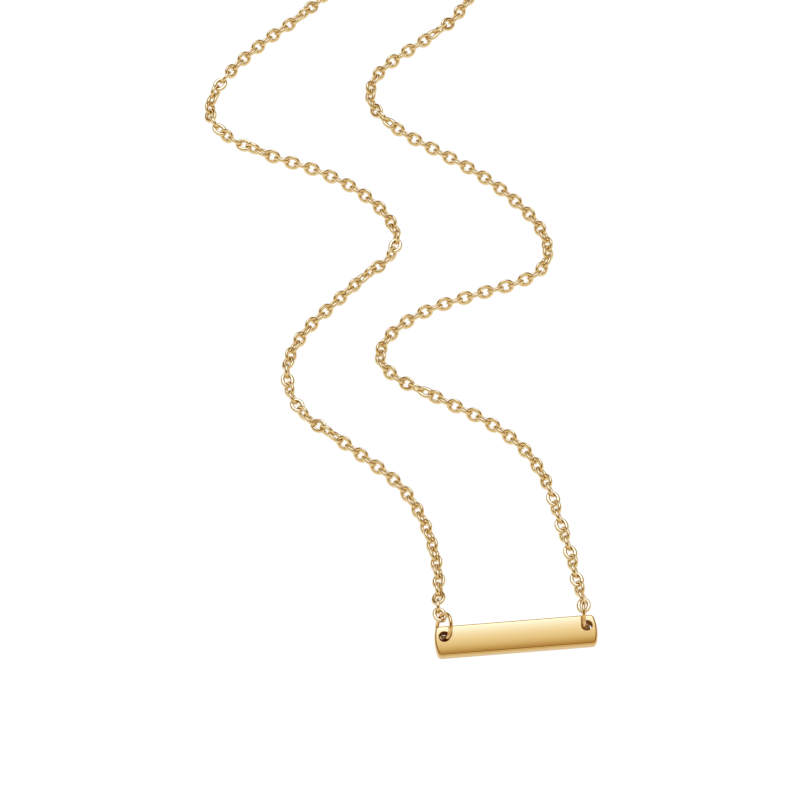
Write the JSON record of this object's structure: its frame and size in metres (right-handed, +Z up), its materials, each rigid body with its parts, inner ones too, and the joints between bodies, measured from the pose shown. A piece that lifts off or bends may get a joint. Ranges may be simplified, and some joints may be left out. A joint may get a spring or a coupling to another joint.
{
  "type": "bar pendant necklace",
  "caption": "Polished gold-coloured bar pendant held at both ends by jump rings on an oval-link cable chain, lying loosely on a surface, closed by a plain clasp.",
  "frame": {"origin": "on the surface that the necklace lies on, under the middle of the bar", "axes": "+X along the bar, +Y over the surface from the bar towards the chain and clasp, +Z up from the surface"},
  "size_m": [0.0651, 0.1821, 0.0057],
  "materials": {
    "bar_gold": "high polish, pale yellow gold plate",
    "ring_gold": "polished wire, pale yellow gold plate",
    "chain_gold": "tumbled and polished wire, pale yellow gold plate"
  },
  "bodies": {
    "root": {"bar": "bar_gold", "jump_ring_left": "ring_gold", "jump_ring_right": "ring_gold", "chain_left": "chain_gold", "chain_right": "chain_gold", "clasp": "ring_gold", "clasp_ring": "ring_gold", "end_ring": "ring_gold"}
  },
  "joints": []
}
